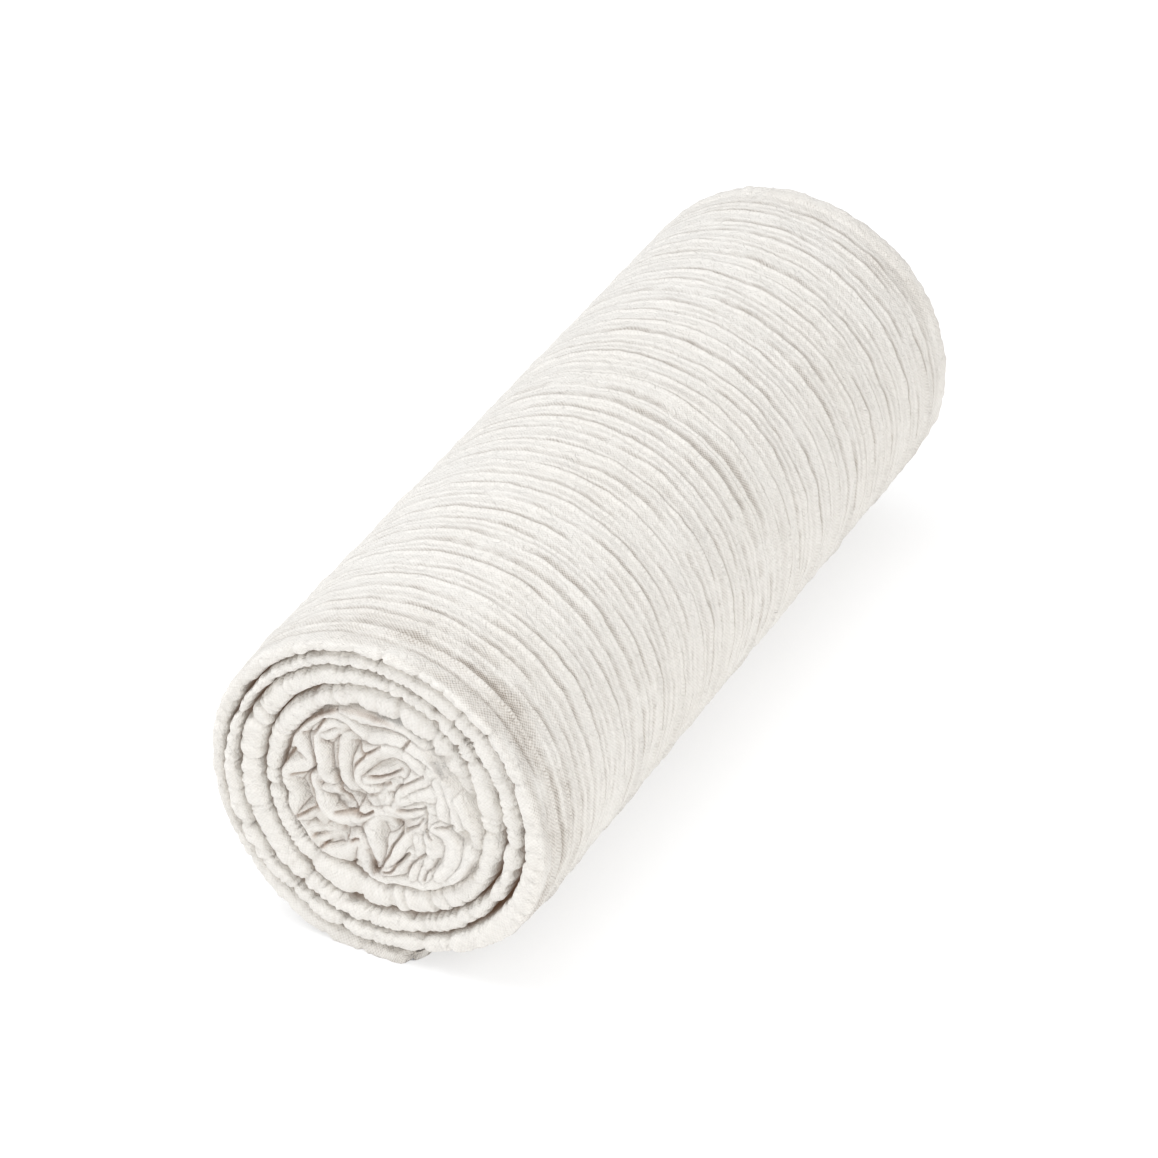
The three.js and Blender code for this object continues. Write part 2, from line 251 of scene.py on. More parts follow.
def crinkle(row, place):
    """A place of the roll's outside: its shift along the roll, its rise, and how much painted shade, with
    more of the weave's holes showing, lies there.
    """
    angle = round(math.atan2(place["z"], place["x"]), 5)
    circle = Vector((math.cos(angle), math.sin(angle), 0))
    number = math.floor(row["line"])
    part = row["line"] - number
    (wander, height), (next_wander, next_height) = crease(number, angle), crease(number + 1, angle)
    lean = max(0.0, 1 - ((row["y"] - SWEEP_CENTRE) / SWEEP_REACH) ** 2)
    shift = -SWEEP * lean * (1 - math.cos(angle - SWEEP_FROM))
    shift += noise.noise(circle * 1.6 + Vector((0, 0, row["y"] / (25 * MM)))) * CREASE_WANDER
    shift += wander + (next_wander - wander) * part
    left, right, flank = min(CREASE_PROFILE, key=lambda p: abs(p[0] - part))[1:]
    rise = height * left + next_height * right
    for number, swell in enumerate(SWELLS):
        spot = circle * (ROLL_RADIUS / swell["round"]) + Vector((5 * number, 3, row["y"] / swell["along"]))
        rise += noise.noise(spot) * swell["height"]
    return shift * end_fade(row["y"], 8), rise * end_fade(row["y"], 60), height / FLANK_SHADE_HEIGHT * flank


def neck(depth, angle):
    """How far the cloth is drawn in behind a rim, and how much painted shade, with more of the weave's
    holes showing, lies there.
    """
    side = 0.4 + 0.6 * max(math.cos(angle - NECK_SIDE), 0)
    drawn = NECK_DEPTH * side * math.exp(-(((depth - NECK_PLACE) / NECK_REACH) ** 2))
    uneven = 0.6 + 1.1 * noise.noise((4 * math.cos(angle), 4 * math.sin(angle), depth / (3 * MM)))
    return drawn, 0.75 * side * uneven * math.exp(-(((depth - NECK_SHADE) / NECK_SHADE_REACH) ** 2))


# A rim's section is a little squarer than round: the power that its sine and cosine are raised to.
RIM_FULLNESS = 0.86
RIM_SEGMENTS = 14
# Half the strip's thickness, roughly, for the length round its section.
STRIP_HALF = 3 * MM


def strip_section(lines, face_rows, back_rows, rim_depth):
    """Rows round the strip's section, each with how far across the strip it lies and along the roll."""
    half_length = ROLL_LENGTH / 2
    rows = [{"across": 1.0, "y": y, "rim": 0.0, "line": line} for y, line in zip(face_rows, lines)]
    for end, backs in ((1, reversed(back_rows)), (-1, ())):
        for segment in range(RIM_SEGMENTS + 1):
            turn = math.pi * segment / RIM_SEGMENTS
            across = math.copysign(abs(math.cos(turn)) ** RIM_FULLNESS, math.cos(turn)) * end
            depth = rim_depth[0 if across > 0 else 1] * (1 - math.sin(turn) ** RIM_FULLNESS)
            rows.append({"across": across, "y": end * (half_length - depth), "rim": math.sin(turn)})
        rows += [{"across": -1.0, "y": y, "rim": 0.0} for y in backs]
    rows.append(dict(rows[0]))
    girth = 0.0
    for before, row in zip([rows[0]] + rows, rows):
        girth += math.hypot(row["y"] - before["y"], (row["across"] - before["across"]) * STRIP_HALF)
        row["girth"] = girth
    return rows


# The gathers across a folded rim, where the crinkle is squeezed: puffs between grooves, small
# pleats that scallop the rim's edges, and fine ribs. Each kind has its own spacing, depth and
# groove width, and the share of its depth that it has only at the rim's edges.
GATHER_KINDS = (
    {"spacing": 8.5 * MM, "depth": 1.6 * MM, "groove": 0.13, "edge": 0.0, "seed": 3.5},
    {"spacing": 2.5 * MM, "depth": 1.7 * MM, "groove": 0.24, "edge": 0.9, "seed": 7.5},
    {"spacing": 3.4 * MM, "depth": 0.75 * MM, "groove": 0.2, "edge": 0.1, "seed": 11.5},
)
GATHER_REACH = 9 * MM
OUTSIDE_REACH = 3 * MM


def gather(place, row, depth, seed):
    """How deep the gathers press in at a place of a rim, in metres."""
    lean = noise.noise((place["along"] / 0.03, seed + 9.3, 4.0)) * 2 * MM * row["across"]
    pressed = 0.0
    for kind in GATHER_KINDS:
        drift = noise.noise((place["along"] / (2.4 * kind["spacing"]), seed, kind["seed"])) * 1.5
        turn = (place["along"] + lean) / kind["spacing"] + drift
        number = round(turn)
        groove = math.exp(-abs((turn - number) / kind["groove"]) ** 1.4)
        strength = 0.1 + 1.2 * noise.cell(Vector((number + 0.5, seed + 0.5, kind["seed"]))) ** 2
        edge = 1 - kind["edge"] * (1 - min(abs(row["across"]) * 1.15, 1.0) ** 2)
        pressed += kind["depth"] * groove * strength * edge
    reach = OUTSIDE_REACH if row.get("outside") and row["across"] > 0 else GATHER_REACH
    calm = FAR_SHARE if row.get("outside") and row["y"] > 0 else 1.0
    return pressed * place["gather"] * math.exp(-depth / reach) * calm


def wind_strip(name, path, rows, seed, fine_reach):
    """Lays a strip out flat as a grid, finer near its rims, maps it, and winds it along its path."""
    bm = bmesh.new()
    uv = bm.loops.layers.uv.new("cloth")
    open_weave = bm.verts.layers.float.new("open_weave")
    painted_crevice_shade = bm.verts.layers.float.new("painted_crevice_shade")
    last_step, last_row = len(path) - 1, len(rows) - 1
    bmesh.ops.create_grid(bm, x_segments=last_step, y_segments=last_row, size=0.5)
    bmesh.ops.translate(bm, verts=bm.verts, vec=(0.5, 0.5, 0))
    bmesh.ops.scale(bm, verts=bm.verts, vec=(last_step, last_row, 1))
    for vert in bm.verts:
        vert.co = (round(vert.co.x), round(vert.co.y), 0)
    near_rim = [abs(row["y"]) > ROLL_LENGTH / 2 - fine_reach for row in rows]
    rim_runs = [edge for edge in bm.edges if edge.verts[0].co.y == edge.verts[1].co.y
                and near_rim[round(edge.verts[0].co.y)]]
    bmesh.ops.subdivide_edges(bm, edges=rim_runs, cuts=1)
    places = {at: path_place(path, at) for at in {vert.co.x for vert in bm.verts}}
    for face in bm.faces:
        for loop in face.loops:
            loop[uv].uv = (places[loop.vert.co.x]["along"], rows[round(loop.vert.co.y)]["girth"])
    for vert in bm.verts:
        point = wound_point(places[vert.co.x], rows[round(vert.co.y)], seed)
        vert.co, vert[open_weave], vert[painted_crevice_shade] = point
    bmesh.ops.remove_doubles(bm, verts=bm.verts, dist=1e-6)
    caps = bmesh.ops.holes_fill(bm, edges=bm.edges)["faces"]
    for edge in {edge for face in caps for edge in face.edges}:
        edge.smooth = False
    bmesh.ops.recalc_face_normals(bm, faces=bm.faces)
    mesh = bpy.data.meshes.new(name)
    bm.to_mesh(mesh)
    bm.free()
    mesh.shade_smooth()
    piece = bpy.data.objects.new(name, mesh)
    bpy.context.scene.collection.objects.link(piece)
    return piece


# How far a rim lies back where the strip's end thins, and how far in a rim's own recess reaches.
END_RETREAT = 3 * MM
RECESS_REACH = 25 * MM
# How uneven the cloth is, and the size of its unevenness, all over and on the rims alone.
UNEVENNESS = 0.5 * MM
UNEVEN_SIZE = 9 * MM
RIM_UNEVENNESS = 0.75 * MM
RIM_UNEVEN_SIZE = 3.6 * MM
# How far in from the end a crease between two turns begins to be painted with shade, and over what
# further depth the painted shade grows full.
DARK_FROM = 2.8 * MM
DARK_REACH = 7 * MM
# The crinkle is pressed flat on the floor, and less and less up to this height.
PRESSED_HEIGHT = 3 * MM


def wound_point(place, row, seed):
    """A place of the strip's section once rolled up, with its painted shade and weave holes, and its
    painted crevice shade.
    """
    end = -1 if row["y"] < 0 else 1
    depth = ROLL_LENGTH / 2 - abs(row["y"])
    shift, rise, opened = 0.0, 0.0, place["openness"]
    if row.get("line") is not None:
        shift, rise, opened = crinkle(row, place)
    outside = row["across"] ** 2 if row.get("outside") and row["across"] > 0 else 0.0
    drawn, drawn_open = (value * (FAR_SHARE if end > 0 else 1.0)
                         for value in neck(depth, math.atan2(place["z"], place["x"])))
    opened += drawn_open * outside
    # Painted shade in the creases between turns, from a depth in from the end.
    crevice_shade = 0.0 if outside else min(max((depth - DARK_FROM) / DARK_REACH, 0.0), 1.0)
    recess = place["recess"] + (1 - place["fullness"]) * END_RETREAT
    y = row["y"] + shift - end * recess * math.exp(-((depth / RECESS_REACH) ** 2))
    normal = Vector((place["normal_x"], 0, place["normal_z"]))
    point = Vector((place["x"], y, place["z"] + AXIS_HEIGHT))
    point += normal * (row["across"] * place["half"] * place["fullness"])
    if "loose_end" in place:
        pull = TAIL_CORNER * place["loose_end"] * math.exp(-((depth / (CORNER_ACROSS * TAIL_CORNER)) ** 2))
        point += Vector((normal.z, 0, -normal.x)) * pull
    facing = normal * row["across"] * (1 - row["rim"] ** 2) ** 0.5 + Vector((0, end * row["rim"], 0))
    uneven = noise.noise((point + Vector((seed, 0, 0))) / UNEVEN_SIZE) * UNEVENNESS
    uneven += noise.noise(point / RIM_UNEVEN_SIZE) * RIM_UNEVENNESS * row["rim"] ** 0.5
    free = min(max(point.z / PRESSED_HEIGHT, 0.0), 1.0)
    lift = rise * free - drawn * outside
    point += facing * (uneven + lift - gather(place, row, depth, seed + end))
    point.z = max(point.z, 0.0)
    return point, opened, crevice_shade


# How many turns this stretch has, and after how many its second piece begins.
OUTER_TURNS = 1.06
SEAM_TURNS = 0.43
OUTER_STEP = 1.4 * MM
OUTER_RIM_DEPTH = 3.2 * MM
INNER_RIM_DEPTH = 4 * MM
SAMPLES_A_TURN = 32
BACK_ROWS = [y * MM for y in (-140, -125, -90, 0, 90, 125, 140)]
last_line = math.floor((ROLL_LENGTH / 2 - OUTER_RIM_DEPTH - CREASE_JITTER / 2) / CREASE_PITCH)
outer_lines = [number + p[0] for number in range(-last_line, last_line) for p in CREASE_PROFILE]
outer_lines.append(last_line)
outer_rows = []
for line in outer_lines:
    number, part = math.floor(line), line % 1
    outer_rows.append(crease_line(number) * (1 - part) + crease_line(number + 1) * part)
outer_samples = round(OUTER_TURNS * SAMPLES_A_TURN)
outer_places = [spiral_place(k / SAMPLES_A_TURN) for k in range(outer_samples + 1)]
outer_path = walk_path(outer_places, OUTER_STEP, ("loose", "joint"))
for place in outer_path:
    place["loose_end"] = max(1 - place["along"] / (CORNER_ALONG * TAIL_CORNER), 0.0) ** 2
outer_section = strip_section(outer_lines, outer_rows, BACK_ROWS, (OUTER_RIM_DEPTH, INNER_RIM_DEPTH))
for row in outer_section:
    row["outside"] = True
# The turn is meshed as two pieces that share one edge on the roll's left side.
seam = min(range(len(outer_path)), key=lambda k: abs(outer_path[k]["windings"] - SEAM_TURNS))
under_turn = wind_strip("under_turn", outer_path[: seam + 1], outer_section, seed=0.0, fine_reach=4 * MM)
outer_turn = wind_strip("outer_turn", outer_path[seam:], outer_section, seed=0.0, fine_reach=4 * MM)


def linear(hex_code):
    """An sRGB colour such as F1EDE6 as linear values."""
    parts = [int(hex_code[i : i + 2], 16) / 255 for i in (0, 2, 4)]
    return tuple(c / 12.92 if c <= 0.04045 else ((c + 0.055) / 1.055) ** 2.4 for c in parts) + (1.0,)


def add_node(material, kind, settings=None, links=None):
    """Adds a shader node, sets its values, and links sockets of earlier nodes to its inputs."""
    node = material.node_tree.nodes.new(kind)
    for name, value in (settings or {}).items():
        if isinstance(name, str) and hasattr(node, name):
            setattr(node, name, value)
        else:
            node.inputs[name].default_value = value
    for name, socket in (links or {}).items():
        material.node_tree.links.new(socket, node.inputs[name])
    return node


# Undyed cotton muslin, woven as an open gauze: matt, warm off-white, with soft uneven threads,
# small holes between them and fine creases from its crinkle finish. Threads are 1.2 mm apart,
# coarser than real, so that they still show.
THREAD_SPACING = 1.2 * MM
FINE_CREASE_SIZE = (1.7 * MM, 1.8 * MM)
# How many patches of each pattern lie along a metre, and how far the threads sway in radians.
SWAYS_A_METRE = 140.0
SLUBS_A_METRE = 420.0
PATCHES_A_METRE = 330.0
TINTS_A_METRE = 30.0
THREAD_SWAY = 9.0
# How sharply the holes end, how much they show in closed cloth, and how much more they show where the
# weave is open and painted with shade.
HOLE_POWER = 1.5
HOLES_CLOSED = 0.22
HOLES_OPEN_SHADE = 1.4
# How far the painted shade of the open weave and the painted shade of crevices tint the cloth, and how
# strong a painted glow is in the crevices.
OPEN_SHADE_TINT = 0.45
CREVICE_SHADE_TINT = 0.85
PAINTED_CREVICE_GLOW = 0.13
# The sockets of a colour mix node: its share, its two colours and its result.
MIX_SHARE, MIX_FIRST, MIX_SECOND, MIX_RESULT = 0, 6, 7, 2


def gauze_muslin():
    """The cloth's material, with painted shade: its holes and a grey tint follow the weave attribute, and
    a warm tint and glow follow the crevice attribute.
    """
    material = bpy.data.materials.new("gauze_muslin")
    material.use_nodes = True
    material.node_tree.nodes.clear()

    def maths(operation, *values):
        numbers = {n: v for n, v in enumerate(values) if isinstance(v, float)}
        sockets = {n: v for n, v in enumerate(values) if not isinstance(v, float)}
        return add_node(material, "ShaderNodeMath", {"operation": operation} | numbers, sockets).outputs[0]

    def mix(share, first, second):
        ends = {MIX_FIRST: first, MIX_SECOND: second}
        colours = {n: v for n, v in ends.items() if isinstance(v, tuple)}
        sockets = {n: v for n, v in ends.items() if not isinstance(v, tuple)}
        node = add_node(material, "ShaderNodeMix", {"data_type": "RGBA"} | colours,
                        {MIX_SHARE: share} | sockets)
        return node.outputs[MIX_RESULT]

    def noise_node(settings, place):
        return add_node(material, "ShaderNodeTexNoise", settings, {"Vector": place}).outputs["Fac"]

    place = add_node(material, "ShaderNodeTexCoord").outputs["Object"]
    cloth = add_node(material, "ShaderNodeUVMap", {"uv_map": "cloth"}).outputs["UV"]
    sway = noise_node({"Scale": SWAYS_A_METRE, "Detail": 1.0}, place)
    split = add_node(material, "ShaderNodeSeparateXYZ", links={"Vector": cloth})
    threads = []
    for axis in ("X", "Y"):
        turns = maths("MULTIPLY", split.outputs[axis], math.tau / THREAD_SPACING)
        bent = maths("ADD", turns, maths("MULTIPLY", sway, THREAD_SWAY))
        threads.append(maths("COSINE", bent))
    slub = noise_node({"Scale": SLUBS_A_METRE, "Detail": 2.0}, place)
    woven = maths("MULTIPLY_ADD", maths("MULTIPLY", threads[0], threads[1]), 0.5, 0.5)
    hole = maths("MULTIPLY", maths("POWER", woven, HOLE_POWER), slub)
    opened = add_node(material, "ShaderNodeAttribute", {"attribute_name": "open_weave"}).outputs["Fac"]
    showing = maths("MULTIPLY", hole, maths("MULTIPLY_ADD", opened, HOLES_OPEN_SHADE, HOLES_CLOSED))
    grid = add_node(material, "ShaderNodeCombineXYZ", links={
        0: maths("MULTIPLY", split.outputs["X"], 1 / FINE_CREASE_SIZE[0]),
        1: maths("MULTIPLY", split.outputs["Y"], 1 / FINE_CREASE_SIZE[1])})
    wrinkle = noise_node({"Scale": 1.0, "Detail": 2.0, "Roughness": 0.55, "Distortion": 0.8},
                         grid.outputs[0])
    fine = noise_node({"Scale": PATCHES_A_METRE, "Detail": 3.0, "Roughness": 0.6}, place)
    tint = noise_node({"Scale": TINTS_A_METRE, "Detail": 2.0}, place)
    base = mix(tint, linear("EEEBE6"), linear("EAE6DF"))
    # Painted shade: a grey-beige tint where the weave is open and lies in shade.
    shaded = mix(maths("MULTIPLY", opened, OPEN_SHADE_TINT), base, linear("C8C0B6"))
    crevice_shade = add_node(material, "ShaderNodeAttribute", {"attribute_name": "painted_crevice_shade"}).outputs["Fac"]
    pierced = mix(showing, shaded, linear("9A8B7C"))
    # Painted shade: a warm brown tint in the crevices.
    colour = mix(maths("MULTIPLY", crevice_shade, CREVICE_SHADE_TINT), pierced, linear("85603F"))
    crease_bump = add_node(material, "ShaderNodeBump", {"Strength": 0.8, "Distance": 1.05 * MM},
                           {"Height": wrinkle}).outputs[0]
    soft_bump = add_node(material, "ShaderNodeBump", {"Strength": 0.6, "Distance": 0.5 * MM},
                         {"Height": fine, "Normal": crease_bump}).outputs[0]
    weave_bump = add_node(material, "ShaderNodeBump",
                          {"Strength": 0.9, "Distance": 0.25 * MM, "invert": True},
                          {"Height": showing, "Normal": soft_bump}).outputs[0]
    # A painted glow stands in for light bounced and let through the thin cloth, and keeps its crevices
    # warm rather than black.
    shader = add_node(material, "ShaderNodeBsdfPrincipled",
                      {"Roughness": 0.95, "Sheen Weight": 0.15, "Sheen Roughness": 0.5,
                       "Specular IOR Level": 0.2, "Emission Color": linear("A88468")},
                      {"Base Color": colour, "Normal": weave_bump,
                       "Emission Strength": maths("MULTIPLY", crevice_shade, PAINTED_CREVICE_GLOW)})
    add_node(material, "ShaderNodeOutputMaterial", links={"Surface": shader.outputs[0]})
    return material


muslin = gauze_muslin()


def dress_cloth(piece):
    piece.data.materials.append(muslin)
    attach(piece, "root")


dress_cloth(under_turn)
dress_cloth(outer_turn)
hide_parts("loose_end")
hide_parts("roll")


# The inner turns: the same strip wound on inwards. Only their folded rims show at the two ends,
# so they are smooth and snug in between.
INNER_STEP = 0.95 * MM
# In turns from the loose edge: where the strip ends, and how far it overlaps the outer turn.
INNER_TURNS_END = 3.84
JOINT_OVERLAP = 0.004
# How far behind a rim the rows of the strip's two sides lie.
FLANK_DEPTHS = [d * MM for d in (1.3, 3, 5, 8, 12, 18, 28, 50, 90)]

near_flank = [-ROLL_LENGTH / 2 + INNER_RIM_DEPTH + depth for depth in FLANK_DEPTHS]
inner_flanks = near_flank + [-y for y in reversed(near_flank)]
inner_start = OUTER_TURNS - JOINT_OVERLAP
inner_count = round((INNER_TURNS_END - inner_start) * SAMPLES_A_TURN)
inner_places = [spiral_place(inner_start + (INNER_TURNS_END - inner_start) * k / inner_count)
                for k in range(inner_count + 1)]
inner_path = walk_path(inner_places, INNER_STEP, ("joint", "loose"))
inner_section = strip_section([None] * len(inner_flanks), inner_flanks, inner_flanks,
                              (INNER_RIM_DEPTH, INNER_RIM_DEPTH))
inner_turns = wind_strip("inner_turns", inner_path, inner_section, seed=31.0, fine_reach=5.5 * MM)
dress_cloth(inner_turns)


# The crumpled core: the strip's first turns, squashed and creased when it was rolled, as a thin
# sheet over its folds at each end.

# Each row is a place of a fold's crest, or of the crevice that the cloth falls into between folds,
# as the camera sees it against a plane SEEN_BACK inside the near end: two shares of the roll's
# radius, and how far back the place seems to lie in mm.
CORE_FOLDS = {
    "ruffle": (
        (0.545, 0.05, 9), (0.545, -0.05, 5), (0.53, -0.16, 3), (0.49, -0.27, 2), (0.41, -0.365, 2),
        (0.31, -0.425, 2.5), (0.2, -0.445, 3), (0.1, -0.465, 3), (0.01, -0.485, 3), (-0.06, -0.47, 3.5),
        (-0.1, -0.4, 3), (-0.105, -0.32, 2.5), (-0.1, -0.265, 2.5), (-0.14, -0.29, 2.5),
        (-0.19, -0.36, 2.5), (-0.25, -0.41, 2.5), (-0.33, -0.42, 2), (-0.39, -0.36, 2),
        (-0.45, -0.305, 2), (-0.51, -0.25, 2), (-0.52, -0.17, 2), (-0.505, -0.1, 2.5), (-0.545, -0.03, 2),
        (-0.545, 0.025, 2), (-0.49, 0.075, 2.5), (-0.42, 0.115, 3), (-0.385, 0.15, 3), (-0.43, 0.2, 3),
        (-0.47, 0.27, 2.5), (-0.47, 0.325, 2.5), (-0.43, 0.37, 2.5), (-0.375, 0.42, 2.5),
        (-0.33, 0.465, 2.5), (-0.27, 0.49, 2.5), (-0.17, 0.48, 3), (-0.1, 0.44, 3.5), (-0.03, 0.41, 4),
        (0.03, 0.43, 3.5), (0.1, 0.445, 3), (0.18, 0.43, 2.5), (0.27, 0.4, 2.5), (0.345, 0.35, 2),
        (0.39, 0.27, 2), (0.42, 0.19, 2.5), (0.45, 0.1, 2.5), (0.47, 0, 2.5),
    ),
    "top fold": (
        (-0.2, 0.53, 3), (-0.12, 0.53, 2.5), (-0.04, 0.535, 2), (0.04, 0.55, 2), (0.12, 0.545, 2.5),
        (0.2, 0.52, 3), (0.28, 0.48, 3),
    ),
    "tongue": (
        (-0.19, 0.44, 5), (-0.24, 0.44, 3), (-0.29, 0.41, 2.5), (-0.335, 0.37, 2.5), (-0.355, 0.32, 2.5),
        (-0.35, 0.25, 2.5), (-0.34, 0.17, 2.5), (-0.335, 0.1, 3), (-0.31, 0.065, 3.5),
        (-0.265, 0.075, 4.5),
    ),
    "tongue fold": ((-0.33, 0.34, 3.5), (-0.28, 0.35, 3), (-0.23, 0.385, 3), (-0.2, 0.42, 4)),
    "inner wall": (
        (-0.17, 0.4, 5), (-0.195, 0.35, 4.5), (-0.2, 0.27, 4.5), (-0.2, 0.18, 4.5), (-0.185, 0.11, 5),
        (-0.15, 0.07, 5.5),
    ),
    "saddle": ((0, 0.03, 5.5), (0.03, 0.03, 4.5), (0.06, 0.05, 3.8), (0.05, 0.09, 4)),
    "arch": (
        (0.27, 0.3, 4), (0.23, 0.345, 3), (0.17, 0.375, 3), (0.1, 0.385, 3), (0.03, 0.365, 3),
        (-0.03, 0.32, 3), (-0.08, 0.255, 3), (-0.115, 0.19, 3), (-0.12, 0.13, 3.5), (-0.07, 0.095, 3.5),
        (0, 0.1, 3.5),
    ),
    "arch ribbon": (
        (-0.07, 0.13, 4), (-0.02, 0.155, 4), (0.05, 0.2, 4), (0.1, 0.235, 4.5), (0.14, 0.265, 5),
    ),
    "small ridge": ((0.03, 0.06, 4.5), (0.055, 0.12, 4.5), (0.09, 0.165, 5), (0.13, 0.21, 6)),
    "upper fold": (
        (0.12, 0.05, 5), (0.14, 0.11, 3.5), (0.18, 0.17, 3), (0.23, 0.22, 3), (0.28, 0.27, 3),
        (0.32, 0.32, 3),
    ),
    "middle fold": ((0.1, 0.03, 4), (0.16, 0.085, 3.2), (0.23, 0.13, 3), (0.3, 0.16, 3), (0.34, 0.19, 3)),
    "low middle fold": (
        (0.05, -0.01, 4), (0.12, 0, 3.2), (0.19, 0.02, 3), (0.26, 0.06, 3), (0.31, 0.08, 3.5),
    ),
    "thin fold": ((0.2, -0.1, 4.5), (0.24, -0.06, 3.5), (0.28, -0.02, 3.2), (0.31, 0.03, 3.5)),
    "right puff": ((0.35, 0.26, 3), (0.36, 0.19, 2.2), (0.38, 0.12, 1.8), (0.38, 0.06, 2.2)),
    "edge fold": ((0.46, 0.18, 2.9), (0.51, 0.1, 2.6), (0.55, 0.01, 2.8), (0.56, -0.07, 3.8)),
    "fan": (
        (0.34, -0.03, 3.5), (0.39, -0.06, 2.8), (0.44, -0.12, 2.3), (0.44, -0.2, 2.2), (0.4, -0.29, 2.2),
        (0.35, -0.36, 2.6),
    ),
    "fan fold": (
        (0.29, -0.1, 3.2), (0.31, -0.17, 3), (0.3, -0.25, 2.8), (0.28, -0.33, 2.8), (0.26, -0.4, 3),
    ),
    "second fan fold": (
        (0.22, -0.13, 3.5), (0.24, -0.19, 3.5), (0.22, -0.27, 3.5), (0.2, -0.35, 3), (0.19, -0.41, 3),
    ),
    "lower fold": (
        (0.24, -0.07, 4), (0.19, -0.12, 3.2), (0.155, -0.18, 3), (0.125, -0.24, 3), (0.1, -0.3, 3),
        (0.06, -0.35, 3.2), (0.02, -0.38, 4),
    ),
    "under fold": (
        (0.2, -0.24, 4), (0.18, -0.3, 3.2), (0.14, -0.36, 3), (0.09, -0.4, 3), (0.02, -0.43, 3),
    ),
    "knot": (
        (0.08, -0.065, 5), (0.02, -0.06, 4), (-0.02, -0.1, 3.2), (-0.05, -0.17, 3), (-0.045, -0.24, 3),
        (-0.02, -0.31, 3), (0.005, -0.36, 4),
    ),
    "cross fold": (
        (0.09, -0.02, 4), (0.02, -0.05, 3.2), (-0.06, -0.09, 3), (-0.14, -0.135, 2.8),
        (-0.22, -0.165, 2.5), (-0.29, -0.165, 2.5), (-0.325, -0.12, 2.5), (-0.34, -0.06, 2.8),
        (-0.36, 0, 3), (-0.365, 0.05, 3.5), (-0.34, 0.075, 5),
    ),
    "pocket rim": ((-0.31, 0.005, 4), (-0.25, 0.02, 4), (-0.19, 0.005, 5), (-0.14, -0.03, 6.5)),
    "side pleat": ((-0.48, -0.25, 2.5), (-0.42, -0.21, 3.5), (-0.36, -0.17, 5), (-0.32, -0.22, 6)),
    "low pleat": ((-0.42, -0.3, 3), (-0.35, -0.27, 4), (-0.28, -0.255, 5), (-0.22, -0.25, 6)),
    "lowest pleat": ((-0.36, -0.35, 3), (-0.31, -0.31, 4), (-0.25, -0.275, 5), (-0.2, -0.255, 6)),
}
